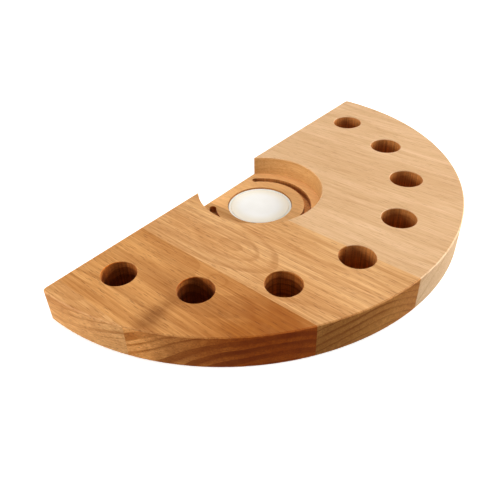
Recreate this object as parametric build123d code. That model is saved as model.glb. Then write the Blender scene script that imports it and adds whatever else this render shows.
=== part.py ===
from build123d import *
import math
import os

# ---------------------------------------------------------------------------
# Half-round board of edge-glued staves with eight sockets, a stepped pocket
# open to the straight edge, and a slim light puck in the middle of the pocket.
# Millimetres. The origin is at the centre of the bounding box, on the
# underside: X runs along the straight edge, +Y points to the straight edge,
# and +Z is up.
# ---------------------------------------------------------------------------

# Board
BOARD_RADIUS = 190.0
BOARD_THICKNESS = 27.0
EDGE_BREAK = 0.7
CORNER_RADIUS = 3.0
STAVE_WIDTH = 76.5
FIRST_SEAM_X = -176.5

# Sockets, on an arc about the middle of the straight edge
SOCKET_COUNT = 8
SOCKET_RADIUS = 13.0
SOCKET_DEPTH = 24.0
SOCKET_PITCH_RADIUS = 148.5
SOCKET_MOUTH_CHAMFER = 0.25

# Pocket, groove and light seat, all on one centre
POCKET_INSET = 36.0
POCKET_RADIUS = 51.3
POCKET_FLOOR_Z = 10.0
GROOVE_RADIUS = 40.1
GROOVE_WIDTH = 5.8
GROOVE_DEPTH = 6.0
GROOVE_END_ANGLE = 44.5
SEAT_RADIUS = 27.1
SEAT_FLOOR_Z = 2.0

# Light puck
PUCK_RADIUS = 26.7
RIM_HEIGHT = 6.9
RIM_WALL = 1.2
RIM_LIP = 0.7
RIM_LIP_HEIGHT = 0.5
RIM_ROUNDING = 0.3
BASE_THICKNESS = 1.0
COVER_RADIUS = 21.3
COVER_CLEARANCE = 0.2
COVER_RECESS = 0.2
LUG_REACH = 1.5
LUG_HEIGHT = 0.6
LUG_ANGLE = 16.0
LUG_CLEARANCE = 0.1
COVER_TWIST = 20.0
COIN_SLOT_LENGTH = 14.0
COIN_SLOT_WIDTH = 2.0
COIN_SLOT_DEPTH = 0.5
POST_RADIUS = 1.2
POST_ANGLES = (70.0, 110.0, 250.0, 290.0)
CELL_RADIUS = 10.0
CELL_THICKNESS = 1.6
CELL_X = 10.6
STRIP_THICKNESS = 0.2
COVER_HEADROOM = 0.3
PCB_RADIUS = 25.0
PCB_THICKNESS = 0.8
SPRING_DROP = 0.8
LED_COUNT = 6
LED_CIRCLE = 17.0
LED_SIZE = (2.8, 3.5, 0.6)
RESISTOR_SIZE = (2.0, 1.2, 0.5)
SWITCH_SIZE = 4.5
SWITCH_HEIGHT = 0.6
PLUNGER_RADIUS = 1.0
PLUNGER_CLEARANCE = 0.05
PLUNGER_HEIGHT = 0.6
LENS_RADIUS = 24.6
LENS_FLANGE_RADIUS = 25.3
LENS_FLANGE_HEIGHT = 0.5
LENS_EDGE_HEIGHT = 1.1
LENS_CROWN = 0.3
LENS_ROUNDING = 0.4
LENS_GAP = 0.5
LIP_GAP = 0.1

# Derived places
EDGE_Y = BOARD_RADIUS / 2
POCKET_Y = EDGE_Y - POCKET_INSET
BASE_TOP = SEAT_FLOOR_Z + BASE_THICKNESS
STRIP_Z = BASE_TOP + COVER_HEADROOM
CELL_Z = STRIP_Z + STRIP_THICKNESS
SPRING_Z = CELL_Z + CELL_THICKNESS
PCB_Z = SPRING_Z + SPRING_DROP
PCB_TOP = PCB_Z + PCB_THICKNESS
LENS_Z = PCB_TOP + LED_SIZE[2] + LENS_GAP
RIM_TOP = SEAT_FLOOR_Z + RIM_HEIGHT
LENS_TOP = LENS_Z + LENS_EDGE_HEIGHT + LENS_CROWN


def disc(radius, z_low, z_high, x=0.0, y=0.0):
    """Upright cylinder between two heights."""
    solid = Cylinder(radius, z_high - z_low, align=(Align.CENTER, Align.CENTER, Align.MIN))
    return Pos(x, y, z_low) * solid


def ring(outer, inner, z_low, z_high):
    """Upright tube between two heights."""
    return disc(outer, z_low, z_high) - disc(inner, z_low - 1, z_high + 1)


def block(x_low, x_high, y_low, y_high, z_low, z_high):
    """Box between two corners."""
    solid = Box(
        x_high - x_low,
        y_high - y_low,
        z_high - z_low,
        align=(Align.MIN, Align.MIN, Align.MIN),
    )
    return Pos(x_low, y_low, z_low) * solid


def polar(radius, degrees):
    """Point at a radius and an angle, counted from +X towards +Y."""
    angle = math.radians(degrees)
    return radius * math.cos(angle), radius * math.sin(angle)


def in_pocket(solid):
    """Move a solid from the light's own axis to its place in the board."""
    return Pos(0, POCKET_Y, 0) * solid


# ---------------------------------------------------------------------------
# Board
# ---------------------------------------------------------------------------


def socket_places():
    """Socket centres, from the left end of the arc to the right."""
    step = 180.0 / SOCKET_COUNT
    places = []
    for index in range(SOCKET_COUNT):
        x, y = polar(SOCKET_PITCH_RADIUS, 180.0 + step * (index + 0.5))
        places.append((x, EDGE_Y + y))
    return places


def groove_cutter():
    """C-shaped slot with rounded ends, open towards the straight edge."""
    z_low = POCKET_FLOOR_Z - GROOVE_DEPTH
    z_high = POCKET_FLOOR_Z + 1
    half = GROOVE_WIDTH / 2
    band = ring(GROOVE_RADIUS + half, GROOVE_RADIUS - half, z_low, z_high)
    reach = 2 * GROOVE_RADIUS
    left = polar(reach, 180.0 - GROOVE_END_ANGLE)
    right = polar(reach, GROOVE_END_ANGLE)
    gap = Polygon((0, 0), right, left, align=None)
    band -= Pos(0, 0, z_low - 1) * extrude(gap, z_high - z_low + 2)
    for angle in (GROOVE_END_ANGLE, 180.0 - GROOVE_END_ANGLE):
        x, y = polar(GROOVE_RADIUS, angle)
        band += disc(half, z_low, z_high, x, y)
    return band


def half_round_blank():
    """Half disc with its two corners eased."""
    half = Rectangle(2 * BOARD_RADIUS, BOARD_RADIUS, align=(Align.CENTER, Align.MAX))
    outline = Circle(BOARD_RADIUS) & half
    outline = fillet(outline.vertices(), CORNER_RADIUS)
    return Pos(0, EDGE_Y, 0) * extrude(outline, BOARD_THICKNESS)


def whole_board():
    """The board as it is cut after gluing, before it is split into staves."""
    board = half_round_blank()
    board -= disc(POCKET_RADIUS, POCKET_FLOOR_Z, BOARD_THICKNESS + 1, 0, POCKET_Y)
    top_edges = board.edges().group_by(Axis.Z)[-1]
    bottom_edges = board.edges().group_by(Axis.Z)[0]
    board = chamfer(top_edges + bottom_edges, EDGE_BREAK)
    board -= in_pocket(groove_cutter())
    board -= disc(SEAT_RADIUS, SEAT_FLOOR_Z, POCKET_FLOOR_Z + 1, 0, POCKET_Y)
    for x, y in socket_places():
        board -= disc(SOCKET_RADIUS, BOARD_THICKNESS - SOCKET_DEPTH, BOARD_THICKNESS + 1, x, y)
        mouth = Cone(
            SOCKET_RADIUS,
            SOCKET_RADIUS + SOCKET_MOUTH_CHAMFER,
            SOCKET_MOUTH_CHAMFER,
            align=(Align.CENTER, Align.CENTER, Align.MAX),
        )
        board -= Pos(x, y, BOARD_THICKNESS) * mouth
    return board


def staves():
    """Six staves, numbered from the left, with the grain along Y."""
    board = whole_board()
    seams = [FIRST_SEAM_X + index * STAVE_WIDTH for index in range(5)]
    sides = [-2 * BOARD_RADIUS] + seams + [2 * BOARD_RADIUS]
    pieces = {}
    for index, (x_low, x_high) in enumerate(zip(sides[:-1], sides[1:]), start=1):
        slab = block(x_low, x_high, -2 * BOARD_RADIUS, 2 * BOARD_RADIUS, -1, BOARD_THICKNESS + 1)
        pieces[f"stave_{index}"] = board & slab
    return pieces


# ---------------------------------------------------------------------------
# Light puck, modelled about its own axis
# ---------------------------------------------------------------------------


def light_rim():
    """Ring shell with a lip that holds the lens down."""
    lip_inner = PUCK_RADIUS - RIM_WALL - RIM_LIP
    lip_z = RIM_TOP - RIM_LIP_HEIGHT
    shell = ring(PUCK_RADIUS, PUCK_RADIUS - RIM_WALL, SEAT_FLOOR_Z, lip_z)
    shell += ring(PUCK_RADIUS, lip_inner, lip_z, RIM_TOP)
    return fillet(shell.edges().group_by(Axis.Z)[-1], RIM_ROUNDING)


def light_lens():
    """Frosted lens: a crowned cap on a flange that hooks under the rim's lip."""
    flange_z = LENS_Z + LENS_FLANGE_HEIGHT
    edge_z = LENS_Z + LENS_EDGE_HEIGHT
    side = Polyline(
        (0, LENS_TOP),
        (0, LENS_Z),
        (LENS_FLANGE_RADIUS, LENS_Z),
        (LENS_FLANGE_RADIUS, flange_z),
        (LENS_RADIUS, flange_z),
        (LENS_RADIUS, edge_z),
    )
    crown = ThreePointArc(
        (LENS_RADIUS, edge_z),
        (LENS_RADIUS / 2, edge_z + 0.75 * LENS_CROWN),
        (0, LENS_TOP),
    )
    half_section = make_face(side.edges() + crown.edges())
    lens = revolve(Plane.XZ * half_section, Axis.Z)
    circles = lens.edges().filter_by(GeomType.CIRCLE)
    cap_edges = circles.filter_by(lambda edge: math.isclose(edge.radius, LENS_RADIUS))
    return fillet(cap_edges.sort_by(Axis.Z)[-1], LENS_ROUNDING)


def lug(radius_out, z_low, z_high, centre, half_angle):
    """Wedge of a disc, used for the cover's lugs and for their way in."""
    reach = 2 * radius_out
    corners = [(0, 0), polar(reach, centre - half_angle), polar(reach, centre + half_angle)]
    wedge = Pos(0, 0, z_low) * extrude(Polygon(*corners, align=None), z_high - z_low)
    return wedge & disc(radius_out, z_low, z_high)


def light_base():
    """Base plate with the cover's opening, lug passages and board posts."""
    opening = COVER_RADIUS + COVER_CLEARANCE
    plate = ring(PUCK_RADIUS - RIM_WALL, opening, SEAT_FLOOR_Z, BASE_TOP)
    reach = COVER_RADIUS + LUG_REACH + COVER_CLEARANCE
    for centre in (COVER_TWIST, 180.0 + COVER_TWIST):
        passage = lug(reach, SEAT_FLOOR_Z - 1, BASE_TOP + 1, centre, LUG_ANGLE / 2 + 1)
        plate -= passage
    for angle in POST_ANGLES:
        x, y = polar(PUCK_RADIUS - RIM_WALL - 2 * POST_RADIUS, angle)
        plate += disc(POST_RADIUS, BASE_TOP, PCB_Z, x, y)
    return plate


def battery_cover():
    """Flush cover with two bayonet lugs above the base and a coin slot below."""
    cover_z = SEAT_FLOOR_Z + COVER_RECESS
    cover = disc(COVER_RADIUS, cover_z, BASE_TOP)
    lug_z = BASE_TOP + LUG_CLEARANCE
    for centre in (0.0, 180.0):
        arm = lug(COVER_RADIUS + LUG_REACH, lug_z, lug_z + LUG_HEIGHT, centre, LUG_ANGLE / 2)
        neck = lug(COVER_RADIUS, BASE_TOP, lug_z + LUG_HEIGHT, centre, LUG_ANGLE / 2)
        hollow = disc(CELL_X + CELL_RADIUS + COVER_HEADROOM, BASE_TOP, lug_z + LUG_HEIGHT)
        cover += (arm + neck) - hollow
    slot = Box(COIN_SLOT_LENGTH, COIN_SLOT_WIDTH, 2 * COIN_SLOT_DEPTH)
    return cover - Pos(0, 0, cover_z) * slot


def coin_cell(x):
    """Flat coin cell with the wide can above and the narrow cap below."""
    step = CELL_THICKNESS / 4
    can = disc(CELL_RADIUS, CELL_Z + step, CELL_Z + CELL_THICKNESS, x)
    cap = disc(CELL_RADIUS - 1, CELL_Z, CELL_Z + step, x)
    return can + cap


def bridge_strip():
    """Nickel strip under both cells, joining their caps."""
    return block(-CELL_X - 4, CELL_X + 4, -2.5, 2.5, STRIP_Z, CELL_Z)


def cell_spring(x):
    """Leaf spring from the circuit board's underside down to one cell."""
    width = 3.0
    foot = block(x - 6, x - 3, -width / 2, width / 2, PCB_Z - STRIP_THICKNESS, PCB_Z)
    tip = block(x + 1, x + 4, -width / 2, width / 2, SPRING_Z, SPRING_Z + STRIP_THICKNESS)
    low = SPRING_Z
    high = PCB_Z - STRIP_THICKNESS
    leaf = Polygon(
        (x - 3, high),
        (x + 1, low),
        (x + 1, low + STRIP_THICKNESS),
        (x - 3, high + STRIP_THICKNESS),
        align=None,
    )
    sloped = extrude(Plane.XZ * leaf, width / 2, both=True)
    return foot + sloped + tip


def circuit_board():
    """Round circuit board that rests on the base's posts."""
    return disc(PCB_RADIUS, PCB_Z, PCB_TOP)


def led(angle):
    """Surface-mount light, turned to face along its radius."""
    length, width, height = LED_SIZE
    package = Box(length, width, height, align=(Align.CENTER, Align.CENTER, Align.MIN))
    package -= Pos(0, 0, height) * Cylinder(1.1, 0.3)
    x, y = polar(LED_CIRCLE, angle)
    return Pos(x, y, PCB_TOP) * Rot(0, 0, angle) * package


def resistor(x):
    """Chip resistor beside the switch."""
    length, width, height = RESISTOR_SIZE
    chip = Box(length, width, height, align=(Align.CENTER, Align.CENTER, Align.MIN))
    return Pos(x, 7, PCB_TOP) * chip


def switch_body():
    """Low square switch with a round well for its plunger."""
    half = SWITCH_SIZE / 2
    body = block(-half, half, -half, half, PCB_TOP, PCB_TOP + SWITCH_HEIGHT)
    return body - disc(PLUNGER_RADIUS + PLUNGER_CLEARANCE, PCB_TOP - 1, LENS_Z)


def switch_plunger():
    """Round plunger that the lens pushes down."""
    top = LENS_Z - LIP_GAP
    return disc(PLUNGER_RADIUS, top - PLUNGER_HEIGHT, top)


def light_pieces():
    """All of the puck's pieces by name."""
    pieces = {
        "light_rim": light_rim(),
        "light_lens": light_lens(),
        "light_base": light_base(),
        "battery_cover": battery_cover(),
        "circuit_board": circuit_board(),
        "bridge_strip": bridge_strip(),
        "switch_body": switch_body(),
        "switch_plunger": switch_plunger(),
    }
    for index, x in enumerate((-CELL_X, CELL_X), start=1):
        pieces[f"coin_cell_{index}"] = coin_cell(x)
        pieces[f"cell_spring_{index}"] = cell_spring(x)
        pieces[f"resistor_{index}"] = resistor(x / 2)
    for index in range(LED_COUNT):
        pieces[f"led_{index + 1}"] = led(30.0 + 360.0 / LED_COUNT * index)
    return {name: in_pocket(solid) for name, solid in pieces.items()}


def main():
    os.makedirs("parts", exist_ok=True)
    pieces = staves()
    pieces.update(light_pieces())
    for name, solid in pieces.items():
        export_step(solid, f"parts/{name}.step")


main()
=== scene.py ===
import math

import bpy
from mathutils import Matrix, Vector

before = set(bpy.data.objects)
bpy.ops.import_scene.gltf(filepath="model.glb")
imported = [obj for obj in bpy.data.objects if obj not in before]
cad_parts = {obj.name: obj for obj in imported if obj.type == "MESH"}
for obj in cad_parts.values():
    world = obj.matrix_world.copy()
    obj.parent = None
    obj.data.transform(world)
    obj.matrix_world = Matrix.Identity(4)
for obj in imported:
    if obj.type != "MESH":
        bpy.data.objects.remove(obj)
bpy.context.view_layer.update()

MILLIMETRES = 1000.0
WHITE = (1.0, 1.0, 1.0, 1.0)

# How far a seed moves a noise pattern along x, y and z
SHIFT_SHARES = (1.0, 0.7, 1.3)


# ---------------------------------------------------------------------------
# Small helpers for node trees. A number or an output socket goes in, and an
# output socket comes out.
# ---------------------------------------------------------------------------


def srgb(red, green, blue):
    """Display colour from 0 to 255, as a linear RGBA tuple."""

    def linear(value):
        value = value / 255.0
        if value <= 0.04045:
            return value / 12.92
        return ((value + 0.055) / 1.055) ** 2.4

    return (linear(red), linear(green), linear(blue), 1.0)


class Tree:
    """A material's node tree, with short calls for the nodes used here."""

    def __init__(self, name):
        self.material = bpy.data.materials.new(name)
        self.material.use_nodes = True
        self.nodes = self.material.node_tree.nodes
        self.links = self.material.node_tree.links
        self.shader = self.nodes["Principled BSDF"]

    def put(self, socket, value):
        if isinstance(value, bpy.types.NodeSocket):
            self.links.new(value, socket)
        else:
            socket.default_value = value

    def math(self, operation, first, second=0.0, third=None):
        node = self.nodes.new("ShaderNodeMath")
        node.operation = operation
        self.put(node.inputs[0], first)
        self.put(node.inputs[1], second)
        if third is not None:
            self.put(node.inputs[2], third)
        return node.outputs[0]

    def add(self, first, second):
        return self.math("ADD", first, second)

    def times(self, first, second):
        return self.math("MULTIPLY", first, second)

    def minus(self, first, second):
        return self.math("SUBTRACT", first, second)

    def distance(self, across, along):
        squares = self.add(self.times(across, across), self.times(along, along))
        return self.math("SQRT", squares)

    def ramp(self, value, low, high, out_low=0.0, out_high=1.0, smooth=True):
        """Map a value's stretch from low to high onto another, and clamp it."""
        node = self.nodes.new("ShaderNodeMapRange")
        node.interpolation_type = "SMOOTHSTEP" if smooth else "LINEAR"
        self.put(node.inputs["Value"], value)
        node.inputs["From Min"].default_value = low
        node.inputs["From Max"].default_value = high
        node.inputs["To Min"].default_value = out_low
        node.inputs["To Max"].default_value = out_high
        return node.outputs[0]

    def place(self):
        """The point on the piece in its own frame, as x, y and z in millimetres."""
        coordinates = self.nodes.new("ShaderNodeTexCoord")
        scaled = self.nodes.new("ShaderNodeVectorMath")
        scaled.operation = "SCALE"
        self.links.new(coordinates.outputs["Object"], scaled.inputs[0])
        scaled.inputs["Scale"].default_value = MILLIMETRES
        return self.parts(scaled.outputs[0])

    def facing(self):
        """The piece's own surface direction, as x, y and z."""
        coordinates = self.nodes.new("ShaderNodeTexCoord")
        return self.parts(coordinates.outputs["Normal"])

    def parts(self, vector):
        node = self.nodes.new("ShaderNodeSeparateXYZ")
        self.links.new(vector, node.inputs[0])
        return node.outputs[0], node.outputs[1], node.outputs[2]

    def vector(self, x, y, z):
        node = self.nodes.new("ShaderNodeCombineXYZ")
        self.put(node.inputs[0], x)
        self.put(node.inputs[1], y)
        self.put(node.inputs[2], z)
        return node.outputs[0]

    def grey(self, shade):
        return self.vector(shade, shade, shade)

    def stretched(self, place, sizes, shift=0.0):
        """The point divided by a size along each axis, moved by a shift."""
        moved = [
            self.add(self.times(value, 1.0 / size), shift * share)
            for value, size, share in zip(place, sizes, SHIFT_SHARES)
        ]
        return self.vector(*moved)

    def noise_node(self, vector, detail, roughness):
        node = self.nodes.new("ShaderNodeTexNoise")
        self.links.new(vector, node.inputs["Vector"])
        node.inputs["Scale"].default_value = 1.0
        node.inputs["Detail"].default_value = detail
        node.inputs["Roughness"].default_value = roughness
        return node

    def noise(self, vector, detail=2.0, roughness=0.5):
        """Smooth noise about 0.5."""
        return self.noise_node(vector, detail, roughness).outputs[0]

    def three_noises(self, vector, detail=2.0, roughness=0.5):
        """Three separate smooth noises about 0.5."""
        return self.channels(self.noise_node(vector, detail, roughness).outputs[1])

    def cells(self, vector):
        """Distance to the nearest of many scattered points, and its random number."""
        node = self.nodes.new("ShaderNodeTexVoronoi")
        self.links.new(vector, node.inputs["Vector"])
        node.inputs["Scale"].default_value = 1.0
        return node.outputs["Distance"], self.channels(node.outputs["Color"])[0]

    def channels(self, colour):
        node = self.nodes.new("ShaderNodeSeparateColor")
        self.links.new(colour, node.inputs[0])
        return node.outputs[0], node.outputs[1], node.outputs[2]

    def mix(self, share, first, second, blend="MIX"):
        node = self.nodes.new("ShaderNodeMix")
        node.data_type = "RGBA"
        node.blend_type = blend
        self.put(node.inputs["Factor"], share)
        colour_inputs = [socket for socket in node.inputs if socket.type == "RGBA"]
        self.put(colour_inputs[0], first)
        self.put(colour_inputs[1], second)
        return [socket for socket in node.outputs if socket.type == "RGBA"][0]

    def tinted(self, share, colour, tint):
        """The colour multiplied by a tint, as far as the share goes."""
        return self.mix(share, colour, tint, "MULTIPLY")

    def bump(self, height, depth):
        """Raise the surface by a height from 0 to 1 times a depth in metres."""
        node = self.nodes.new("ShaderNodeBump")
        node.inputs["Strength"].default_value = 1.0
        node.inputs["Distance"].default_value = depth
        self.links.new(height, node.inputs["Height"])
        return node.outputs[0]

    def finish(self, colour, roughness, normal=None, specular=0.5):
        self.put(self.shader.inputs["Base Color"], colour)
        self.put(self.shader.inputs["Roughness"], roughness)
        self.shader.inputs["Specular IOR Level"].default_value = specular
        if normal is not None:
            self.links.new(normal, self.shader.inputs["Normal"])
        return self.material


# ---------------------------------------------------------------------------
# Wood: growth rings round a pith line that runs along each stave, with pores,
# fibre and slow colour drift. It is one solid figure, so faces, rim and
# socket walls agree. Millimetres.
# ---------------------------------------------------------------------------

STRAIGHT_EDGE_Y = 95.0
BOARD_TOP = 27.0

# Sizes of the figure's features across, along and through a stave
SLOW_WAVE = (80, 150, 80)
FINE_WAVE = (14, 90, 14)
RING_PATCH = (30, 120, 30)
FIBRE = (0.9, 26, 0.9)
STREAK = (2.6, 190, 2.6)
BAND = (13, 400, 13)
DRIFT = (38, 90, 38)
FINE_PORE = (0.8, 9, 0.8)
LONG_PORE = (1.3, 24, 1.3)
CHATTER = (1.3, 1.3, 60)

# Least and greatest size of a pore within its cell
FINE_PORE_REACH = (0.08, 0.34)
LONG_PORE_REACH = (-0.08, 0.16)

# How far the rings wander, and how uneven their spacing is
SLOW_WANDER = 16.0
FINE_WANDER = 2.2
UNEVEN_PITCH = 0.16
UNEVEN_RINGS = 2.4

DRIFT_STRENGTH = 0.5
# How much end grain takes its tint: its own darkening, plus painted shade on the darker
# staves and a painted sheen on the pale ones
END_SHADE_AND_SHEEN_STRENGTH = 0.9
# Share of the end grain's tint, with its painted shade and painted sheen, that the straight
# edge takes
EDGE_END_SHARE = 0.35

# Where a surface begins to count as one kind, and where it wholly does
END_FACING = (0.35, 0.80)
FACE_FACING = (0.30, 0.70)
FLOOR_FACING = (0.4, 0.8)
UNDER_FACING = (-0.6, -0.3)

# Bands in which a cut's colour fades: distances from the middle of the
# straight edge, distances inside that edge, and heights
RIM_FADE = (178.0, 180.0)
SOCKET_FADE = (95.0, 110.0)
EDGE_FADE = (-0.6, -0.2)
TOP_FADE = (BOARD_TOP - 0.9, BOARD_TOP - 0.6)
GROOVE_FADE = (9.5, 10.0)
SOCKET_DEPTH = (9.0, BOARD_TOP)
# Share of the cut walls' darker tint at a socket's mouth, rising to all of it at depth, and
# its share in the groove: the wall's colour plus painted shade that deepens down the cut
SOCKET_MOUTH_SHADE_SHARE = 0.4
GROOVE_SHADE_SHARE = 0.45

WOOD_BUMP_DEPTH = 0.00006
WOOD_SHEEN = 0.12
WOOD_SHEEN_ROUGHNESS = 0.3
WOOD_SPECULAR = 0.22


def bell(tree, place, centre, widths):
    """A soft hill from 0 to 1 on the board's plane."""
    x, y, _ = place
    across = tree.times(tree.minus(x, centre[0]), 1.0 / widths[0])
    along = tree.times(tree.minus(y, centre[1]), 1.0 / widths[1])
    square = tree.add(tree.times(across, across), tree.times(along, along))
    return tree.math("POWER", math.e, tree.times(square, -1.0))


def ring_radius(tree, place, wood):
    """Distance from the pith in millimetres, with slow and fine waviness."""
    x, y, z = place
    seed = wood["seed"]
    slow_waves = tree.three_noises(tree.stretched(place, SLOW_WAVE, seed), 1.0)
    fine_waves = tree.three_noises(tree.stretched(place, FINE_WAVE, seed + 9), 2.0)
    offsets = []
    for value, pith, lean, slow, fine in zip(
        (x, z), wood["pith"], wood["lean"], slow_waves, fine_waves
    ):
        wave = tree.add(
            tree.times(tree.minus(slow, 0.5), SLOW_WANDER),
            tree.times(tree.minus(fine, 0.5), FINE_WANDER),
        )
        pith_line = tree.math("MULTIPLY_ADD", y, lean, pith)
        offsets.append(tree.add(tree.minus(value, pith_line), wave))
    radius = tree.distance(*offsets)
    for centre, widths, height in wood["swirls"]:
        hill = tree.times(bell(tree, place, centre, widths), height)
        radius = tree.add(radius, hill)
    return radius


def ring_lines(tree, place, wood):
    """Late wood from 0 to 1: a soft rise and a thin dark edge to each ring."""
    radius = ring_radius(tree, place, wood)
    seed = wood["seed"]
    uneven = tree.noise(tree.vector(tree.times(radius, UNEVEN_PITCH), seed, 0.0), 1.0)
    count = tree.add(tree.times(radius, 1.0 / wood["ring"]), tree.times(uneven, UNEVEN_RINGS))
    part = tree.math("FRACT", count)
    body = tree.ramp(part, 0.30, 0.95, 0.0, 0.45)
    line = tree.ramp(part, 0.66, 0.84, 0.0, 0.55)
    fall = tree.ramp(part, 0.93, 1.0, 1.0, 0.0)
    late = tree.times(tree.add(body, line), fall)
    strength = tree.noise(tree.stretched(place, RING_PATCH, seed + 4), 1.0)
    return tree.times(late, tree.ramp(strength, 0.32, 0.68, 0.35, 1.0))


def pore_dashes(tree, place, sizes, seed, reach):
    """Thin dashes of open pores along the grain, from 0 to 1."""
    distance, share = tree.cells(tree.stretched(place, sizes, seed))
    size = tree.ramp(share, 0.25, 1.0, *reach, smooth=False)
    return tree.ramp(tree.minus(distance, size), -0.10, 0.08, 1.0, 0.0)


def cut_shares(tree, place, up):
    """Where a cutter worked inside the outline, where the cut walls take their
    darker tint, more of it deeper down the sockets and in the groove as
    painted shade, and where the surface isn't the straight edge."""
    x, y, z = place
    from_edge = tree.minus(y, STRAIGHT_EDGE_Y)
    reach = tree.distance(x, from_edge)
    off_rim = tree.ramp(reach, *RIM_FADE, 1.0, 0.0)
    off_edge = tree.ramp(from_edge, *EDGE_FADE, 1.0, 0.0)
    off_top = tree.times(tree.ramp(z, *TOP_FADE, 1.0, 0.0), off_rim)
    off_underside = tree.ramp(up, *UNDER_FACING)
    inner = tree.times(off_top, tree.times(off_underside, off_edge))

    socket = tree.ramp(reach, *SOCKET_FADE)
    groove = tree.ramp(z, *GROOVE_FADE, 1.0, 0.0)
    depth = tree.ramp(z, *SOCKET_DEPTH, 1.0, SOCKET_MOUTH_SHADE_SHARE, smooth=False)
    depth = tree.math("MAXIMUM", depth, groove)
    # The cut walls' tint share: their colour, with painted shade growing deeper down the
    # sockets and in the groove
    cut_and_shade_share = tree.math("MAXIMUM", tree.times(socket, depth), tree.times(groove, GROOVE_SHADE_SHARE))
    return inner, tree.times(cut_and_shade_share, inner), off_edge


def figured(tree, place, wood, side):
    """Colour of the growth rings, with slow drift, streaks and bands over them."""
    seed = wood["seed"]
    drift = tree.noise(tree.stretched(place, DRIFT, seed + 3), 2.0)
    streaks = tree.noise(tree.stretched(place, STREAK, seed + 6), 2.0, 0.6)
    bands = tree.noise(tree.stretched(place, BAND, seed + 8), 1.0)
    strength = tree.add(tree.times(side, wood["side_ring"]), wood["ring_strength"])
    late = tree.times(ring_lines(tree, place, wood), strength)
    colour = tree.mix(late, wood["early"], wood["late"])
    layers = (
        (drift, 0.30, 0.70, DRIFT_STRENGTH, wood["drift"]),
        (streaks, 0.36, 0.64, wood["band_strength"], wood["late"]),
        (bands, 0.38, 0.62, wood["band_strength"], wood["drift"]),
    )
    for noise, low, high, strength, tint in layers:
        colour = tree.mix(tree.ramp(noise, low, high, 0.0, strength), colour, tint)
    return colour


def stained(tree, place, wood, side, colour):
    """The colour with the stave's own patchy stains."""
    masks = {"all": 1.0, "side": side, "face": tree.minus(1.0, side)}
    for centre, widths, depth, tint, where in wood["stains"]:
        patch = (0.25 * widths[0], 0.7 * widths[1], 0.25 * widths[0])
        patchy = tree.noise(tree.stretched(place, patch, wood["seed"] + depth), 3.0, 0.6)
        share = tree.times(bell(tree, place, centre, widths), depth)
        share = tree.times(share, tree.ramp(patchy, 0.32, 0.66, 0.72, 1.12))
        share = tree.times(share, masks[where])
        colour = tree.tinted(tree.math("MINIMUM", share, 1.0), colour, tint)
    return colour


def oiled_and_painted_light(tree, place, wood, colour):
    """The colour with end grain and cut walls darkened, which drink more oil,
    with painted shade and a painted sheen on the end grain, painted shade
    deeper down the cut walls, and painted light on the pale staves' pocket
    floor and painted shade on the others'.
    """
    _, along, up = tree.facing()
    inner, cut_and_shade_share, off_edge = cut_shares(tree, place, up)
    # Surfaces facing along the grain take the end grain's tint: real end-grain darkening,
    # plus painted shade on the darker staves and a painted sheen on the pale ones
    end = tree.ramp(tree.math("ABSOLUTE", along), *END_FACING)
    share = tree.times(tree.times(end, END_SHADE_AND_SHEEN_STRENGTH), tree.minus(1.0, inner))
    edge = tree.ramp(off_edge, 0.0, 1.0, EDGE_END_SHARE, 1.0, smooth=False)
    colour = tree.tinted(tree.times(share, edge), colour, wood["end"])
    chatter = tree.noise(tree.stretched(place, CHATTER, wood["seed"] + 1), 3.0, 0.6)
    scorch = tree.ramp(chatter, 0.35, 0.65, 0.55, 1.30, smooth=False)
    colour = tree.tinted(cut_and_shade_share, colour, tree.grey(scorch))
    # Walls inside the outline take the pocket tint; floors take the floor tint, painted light
    # on the pale staves and painted shade on the others
    tint = tree.mix(tree.ramp(up, *FLOOR_FACING), POCKET_TINT, wood["floor"])
    colour = tree.tinted(inner, colour, tint)
    # Cut walls take their darker tint, laid on more deeply down the sockets and in the groove
    # as painted shade
    return tree.tinted(cut_and_shade_share, colour, wood["cut"])


def wood_material(name, wood):
    tree = Tree(name)
    place = tree.place()
    seed = wood["seed"]
    _, _, up = tree.facing()
    side = tree.ramp(tree.math("ABSOLUTE", up), *FACE_FACING, 1.0, 0.0)
    fibre = tree.noise(tree.stretched(place, FIBRE, seed + 2), 3.0, 0.65)
    fine_pores = pore_dashes(tree, place, FINE_PORE, seed + 5, FINE_PORE_REACH)
    long_pores = pore_dashes(tree, place, LONG_PORE, seed + 7, LONG_PORE_REACH)

    colour = figured(tree, place, wood, side)
    light = [
        tree.ramp(fibre, 0.25, 0.75, 1.0 - reach, 1.0 + reach, smooth=False)
        for reach in wood["fibre_reach"]
    ]
    colour = tree.tinted(1.0, colour, tree.vector(*light))
    colour = stained(tree, place, wood, side, colour)
    colour = tree.mix(tree.times(fine_pores, wood["pore_strength"]), colour, wood["pore"])
    colour = tree.mix(tree.times(long_pores, wood["dash_strength"]), colour, wood["pore"])
    colour = oiled_and_painted_light(tree, place, wood, colour)

    height = tree.minus(tree.times(fibre, 0.5), tree.add(fine_pores, long_pores))
    roughness = tree.add(tree.ramp(fibre, 0.2, 0.8, 0.52, 0.62), tree.times(fine_pores, 0.15))
    tree.shader.inputs["Sheen Weight"].default_value = WOOD_SHEEN
    tree.shader.inputs["Sheen Roughness"].default_value = WOOD_SHEEN_ROUGHNESS
    normal = tree.bump(height, WOOD_BUMP_DEPTH)
    return tree.finish(colour, roughness, normal, specular=WOOD_SPECULAR)


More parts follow.
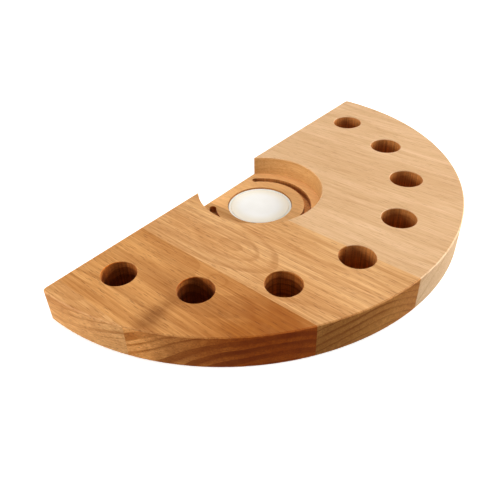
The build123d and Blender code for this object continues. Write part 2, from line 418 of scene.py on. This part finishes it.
# Three kinds of wood, each with tints for the end grain, the cut walls and
# the pocket's floor. The end grain's tint is its own darkening with painted
# shade on the darker staves and a painted sheen on the pale ones; the cut
# walls' tint is their colour, laid on more deeply down the sockets and in
# the groove as painted shade; floor is painted light on the pale staves and
# painted shade on the others. ring is the mean ring width, and fibre_reach
# is how far the fibre lightens and darkens red, green and blue.
HONEY = {
    "late": srgb(160, 106, 54),
    "drift": srgb(190, 138, 84),
    "pore": srgb(112, 62, 24),
    "cut": srgb(232, 180, 92),
    # Pocket floor darkened: painted shade
    "floor": (0.90, 0.86, 0.78, 1.0),
    "ring": 7.0,
    "ring_strength": 0.5,
    "side_ring": 1.0,
    "fibre_reach": (0.18, 0.28, 0.42),
    "band_strength": 0.32,
    "pore_strength": 0.44,
    "dash_strength": 0.24,
    "swirls": (),
    "stains": (),
}
AMBER = {
    **HONEY,
    "early": srgb(210, 160, 102),
    "late": srgb(154, 97, 43),
    "drift": srgb(188, 132, 74),
    "pore": srgb(96, 50, 16),
    # End grain much darker: its own darkening deepened by painted shade
    "end": (1.08, 0.62, 0.13, 1.0),
    "cut": srgb(206, 145, 70),
    "ring_strength": 0.55,
    "side_ring": 1.2,
}
PALE = {
    **HONEY,
    "early": srgb(214, 180, 142),
    "late": srgb(186, 146, 104),
    "drift": srgb(200, 163, 122),
    "pore": srgb(140, 96, 54),
    # End grain paler and cooler: a painted sheen
    "end": (1.08, 1.15, 1.22, 1.0),
    "cut": srgb(236, 174, 66),
    # Pocket floor brightened: painted light
    "floor": (1.24, 1.11, 0.88, 1.0),
    "ring": 8.0,
    "ring_strength": 0.45,
    "side_ring": 0.3,
    "band_strength": 0.24,
    "fibre_reach": (0.11, 0.17, 0.26),
    "pore_strength": 0.34,
    "dash_strength": 0.3,
}

# Tints that a surface's colour is multiplied by
POCKET_TINT = srgb(244, 230, 196)
DARK_STAIN = srgb(176, 150, 112)
RED_STAIN = srgb(212, 182, 130)
PALE_BLEND = (1.09, 1.20, 1.34, 1.0)
WARM_RIM = (1.16, 1.13, 1.10, 1.0)
PALE_PATCH = (1.45, 1.45, 1.45, 1.0)

# Each stave's wood. pith is the pith line's x and z at the board's middle, and
# lean is how they change along y. A swirl is a centre, widths and a height in
# millimetres. A stain is a centre, widths, depth, tint and where it lies.
WOODS = {
    "stave_1": {
        **HONEY,
        "early": srgb(215, 168, 114),
        "end": srgb(254, 208, 140),
        "ring_strength": 0.4,
        "side_ring": 0.4,
        "ring": 6.0,
        "seed": 11.0,
        "pith": (-176, 52),
        "lean": (0.02, -0.22),
        "stains": (((-190, 70), (60, 70), 1.0, WARM_RIM, "side"),),
    },
    "stave_2": {
        **AMBER,
        "seed": 23.0,
        "pith": (-118, -33),
        "lean": (-0.05, 0.035),
        "swirls": (((-109, 8), (9, 13), 10.0),),
        "stains": (
            ((-152, 17), (19, 6), 0.55, DARK_STAIN, "face"),
            ((-163, 15), (8, 9), 0.45, DARK_STAIN, "face"),
            ((-124, -48), (64, 50), 1.0, RED_STAIN, "all"),
            ((-174, 18), (9, 14), 1.0, PALE_PATCH, "side"),
        ),
    },
    "stave_3": {
        **HONEY,
        "early": srgb(215, 172, 122),
        "end": srgb(228, 202, 144),
        "ring": 5.5,
        "seed": 37.0,
        "pith": (-71, -60),
        "lean": (-0.05, 0.05),
        "swirls": (((-72, 24), (14, 30), -11.0),),
        "stains": (((-20, 0), (24, 300), 0.9, PALE_BLEND, "face"),),
    },
    "stave_4": {**PALE, "seed": 41.0, "pith": (60, -70), "lean": (0.03, 0.02)},
    "stave_5": {**PALE, "seed": 59.0, "pith": (80, 95), "lean": (-0.04, -0.02)},
    "stave_6": {**PALE, "seed": 67.0, "pith": (140, -55), "lean": (0.02, 0.03)},
}


# ---------------------------------------------------------------------------
# The light's materials. Sizes in millimetres, bump depths in metres.
# ---------------------------------------------------------------------------

LIGHT_Y = 59.0
# Distances from the lens's axis between which it turns to its warmer edge colour, a painted
# reflection of the wood around it
LENS_REFLECTION_REACH = (14.0, 25.0)
BRUSH_SIZES = (6.0, 6.0, 6.0)
BRUSH_LINE = 0.12
TRACK_PITCH = 2.2
TRACK_EDGE = (1.5, 1.7)
TRACK_SLANT = 0.35

MOULD_BUMP_DEPTH = 0.00001
LENS_BUMP_DEPTH = 0.000006
METAL_BUMP_DEPTH = 0.000008
BOARD_BUMP_DEPTH = 0.00003
GEL_BUMP_DEPTH = 0.00001


def moulded(name, colour, grain=0.35, roughness=0.38):
    """Moulded plastic: fine spark-eroded grain and a faint cloudiness."""
    tree = Tree(name)
    place = tree.place()
    spark = tree.noise(tree.stretched(place, (grain, grain, grain)))
    cloud = tree.noise(tree.stretched(place, (14, 14, 14)))
    shade = tree.ramp(cloud, 0.3, 0.7, 0.95, 1.02)
    colour = tree.tinted(1.0, colour, tree.grey(shade))
    rough = tree.ramp(spark, 0.2, 0.8, roughness - 0.06, roughness + 0.08)
    return tree.finish(colour, rough, tree.bump(spark, MOULD_BUMP_DEPTH))


def frosted(name):
    """Milky lens with a satin skin, with a painted warm reflection of the wood towards its
    edge.
    """
    tree = Tree(name)
    place = tree.place()
    spark = tree.noise(tree.stretched(place, (0.5, 0.5, 0.5)))
    cloud = tree.noise(tree.stretched(place, (18, 18, 18)))
    x, y, _ = place
    reach = tree.distance(x, tree.minus(y, LIGHT_Y))
    colour = tree.mix(tree.ramp(cloud, 0.3, 0.7), srgb(246, 245, 240), srgb(250, 249, 245))
    # Warmer towards the edge: a painted reflection of the wood around the lens
    colour = tree.mix(tree.ramp(reach, *LENS_REFLECTION_REACH), colour, srgb(245, 238, 222))
    rough = tree.ramp(spark, 0.2, 0.8, 0.34, 0.42)
    return tree.finish(colour, rough, tree.bump(spark, LENS_BUMP_DEPTH))


def metal(name, colour, roughness, across):
    """Rolled or spun metal with fine brush lines across one axis."""
    tree = Tree(name)
    sizes = list(BRUSH_SIZES)
    sizes[across] = BRUSH_LINE
    lines = tree.noise(tree.stretched(tree.place(), sizes))
    shade = tree.ramp(lines, 0.3, 0.7, 0.88, 1.04)
    colour = tree.tinted(1.0, colour, tree.grey(shade))
    rough = tree.ramp(lines, 0.2, 0.8, roughness - 0.06, roughness + 0.1)
    tree.shader.inputs["Metallic"].default_value = 1.0
    return tree.finish(colour, rough, tree.bump(lines, METAL_BUMP_DEPTH))


def laminate(name):
    """White solder mask with faint copper tracks under it."""
    tree = Tree(name)
    place = tree.place()
    x, y, _ = place
    weave = tree.noise(tree.stretched(place, (0.8, 0.8, 0.8)), 1.0)
    slanted = tree.add(x, tree.times(y, TRACK_SLANT))
    track = tree.ramp(tree.math("PINGPONG", slanted, TRACK_PITCH), *TRACK_EDGE)
    colour = tree.mix(tree.times(track, 0.25), srgb(232, 235, 230), srgb(190, 200, 186))
    rough = tree.ramp(weave, 0.3, 0.7, 0.30, 0.40)
    height = tree.add(tree.times(track, 0.6), tree.times(weave, 0.3))
    return tree.finish(colour, rough, tree.bump(height, BOARD_BUMP_DEPTH))


def phosphor(name):
    """Yellow phosphor gel, smoother on top."""
    tree = Tree(name)
    _, _, up = tree.facing()
    grain = tree.noise(tree.stretched(tree.place(), (0.15, 0.15, 0.15)))
    gel = tree.ramp(grain, 0.3, 0.7, 0.8, 1.0)
    colour = tree.mix(gel, srgb(236, 214, 120), srgb(242, 226, 150))
    rough = tree.ramp(up, 0.0, 1.0, 0.5, 0.35)
    return tree.finish(colour, rough, tree.bump(grain, GEL_BUMP_DEPTH))


def paint(node, material):
    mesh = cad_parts[node].data
    mesh.materials.clear()
    mesh.materials.append(material)


def paint_board():
    for node, wood in WOODS.items():
        paint(node, wood_material(node + "_wood", wood))


def paint_light():
    shell = moulded("white_shell", srgb(240, 238, 230))
    nickel = metal("nickel_strip", srgb(205, 200, 190), 0.30, 0)
    cell = metal("cell_steel", srgb(196, 197, 200), 0.26, 1)
    chip = moulded("chip_black", srgb(34, 34, 38), 0.2, 0.45)
    gel = phosphor("led_phosphor")
    for node in ("light_rim", "light_base", "battery_cover"):
        paint(node, shell)
    paint("light_lens", frosted("frosted_lens"))
    paint("circuit_board", laminate("board_laminate"))
    paint("bridge_strip", nickel)
    paint("switch_body", moulded("switch_black", srgb(28, 28, 30), 0.2, 0.4))
    paint("switch_plunger", moulded("plunger_ivory", srgb(214, 208, 190), 0.2, 0.4))
    for index in (1, 2):
        paint(f"coin_cell_{index}", cell)
        paint(f"cell_spring_{index}", nickel)
        paint(f"resistor_{index}", chip)
    for index in range(1, 7):
        paint(f"led_{index}", gel)


# ---------------------------------------------------------------------------
# Stage, light and camera. Metres, degrees and watts.
# ---------------------------------------------------------------------------

STAGE_REACH = 6.0
WALL_FOOT = -0.001
WALL_HEIGHT = 8.0
WALL_SIDES = 64

AIM = (0.0, 0.0, 0.02)
WORLD_STRENGTH = 0.20
VIEW_GAMMA = 0.85

CAMERA_PLACE = (-0.2987, -0.1876, 0.2690)
CAMERA_ANGLES = (53.307, 4.364, -46.143)
CAMERA_SENSOR = 36.0
CAMERA_LENS = 40.718
CAMERA_SHIFT = (0.0781, -0.012)
CAMERA_NEAR = 0.01


def stage_white(name, haze_size, darkest, palest, glow):
    """Matt white with a faint slow haze and a little light of its own."""
    tree = Tree(name)
    haze = tree.noise(tree.stretched(tree.place(), (haze_size, haze_size, haze_size)), 1.0)
    shade = tree.ramp(haze, 0.3, 0.7, darkest, palest)
    tree.shader.inputs["Emission Color"].default_value = WHITE
    tree.shader.inputs["Emission Strength"].default_value = glow
    return tree.finish(tree.grey(shade), 0.9, specular=0.1)


def stage_object(name, points, faces, material):
    """A piece of the stage that neither tints the board nor shows in its gloss."""
    mesh = bpy.data.meshes.new(name)
    mesh.from_pydata(points, [], faces)
    mesh.materials.append(material)
    piece = bpy.data.objects.new(name, mesh)
    bpy.context.scene.collection.objects.link(piece)
    piece.visible_diffuse = False
    piece.visible_glossy = False
    return piece


def floor():
    near, far = -STAGE_REACH, STAGE_REACH
    corners = [(near, near, 0), (far, near, 0), (far, far, 0), (near, far, 0)]
    white = stage_white("floor_white", 400, 0.86, 0.88, 0.35)
    plane = stage_object("floor", corners, [(0, 1, 2, 3)], white)


def backdrop():
    """A pale wall far round the floor, seen by the camera alone."""
    points = []
    faces = []
    for index in range(WALL_SIDES):
        turn = math.tau * index / WALL_SIDES
        across, along = STAGE_REACH * math.cos(turn), STAGE_REACH * math.sin(turn)
        points += [(across, along, WALL_FOOT), (across, along, WALL_HEIGHT)]
        left, right = 2 * index, 2 * ((index + 1) % WALL_SIDES)
        faces.append((left, left + 1, right + 1, right))
    white = stage_white("backdrop_white", 900, 0.30, 0.32, 0.78)
    wall = stage_object("backdrop", points, faces, white)
    wall.visible_shadow = False


def softbox(name, place, size, power):
    data = bpy.data.lights.new(name, "AREA")
    data.shape = "RECTANGLE"
    data.size, data.size_y = size
    data.energy = power
    lamp = bpy.data.objects.new(name, data)
    bpy.context.scene.collection.objects.link(lamp)
    lamp.location = place
    direction = Vector(AIM) - Vector(place)
    lamp.rotation_euler = direction.to_track_quat("-Z", "Y").to_euler()


def around(azimuth, elevation, distance):
    """A place at a distance from the board, by angles in degrees."""
    turn = math.radians(azimuth)
    rise = math.radians(elevation)
    flat = distance * math.cos(rise)
    return (flat * math.cos(turn), flat * math.sin(turn), distance * math.sin(rise))


def studio():
    softbox("top_box", (0.0, 0.1, 1.8), (1.8, 1.8), 21.0)
    softbox("left_box", around(150, 12, 1.6), (0.9, 0.8), 30.0)
    softbox("right_box", around(-30, 14, 1.6), (1.2, 0.8), 31.0)
    softbox("front_box", around(-62, 20, 1.6), (0.8, 0.8), 14.0)
    world = bpy.data.worlds.new("studio")
    bpy.context.scene.world = world
    world.use_nodes = True
    background = world.node_tree.nodes["Background"]
    background.inputs["Color"].default_value = WHITE
    background.inputs["Strength"].default_value = WORLD_STRENGTH
    bpy.context.scene.view_settings.view_transform = "Standard"
    bpy.context.scene.view_settings.gamma = VIEW_GAMMA


def camera():
    data = bpy.data.cameras.new("camera")
    data.sensor_width = CAMERA_SENSOR
    data.lens = CAMERA_LENS
    data.shift_x, data.shift_y = CAMERA_SHIFT
    data.clip_start = CAMERA_NEAR
    view = bpy.data.objects.new("camera", data)
    bpy.context.scene.collection.objects.link(view)
    view.location = CAMERA_PLACE
    view.rotation_euler = [math.radians(angle) for angle in CAMERA_ANGLES]
    bpy.context.scene.camera = view


paint_board()
paint_light()
floor()
backdrop()
studio()
camera()
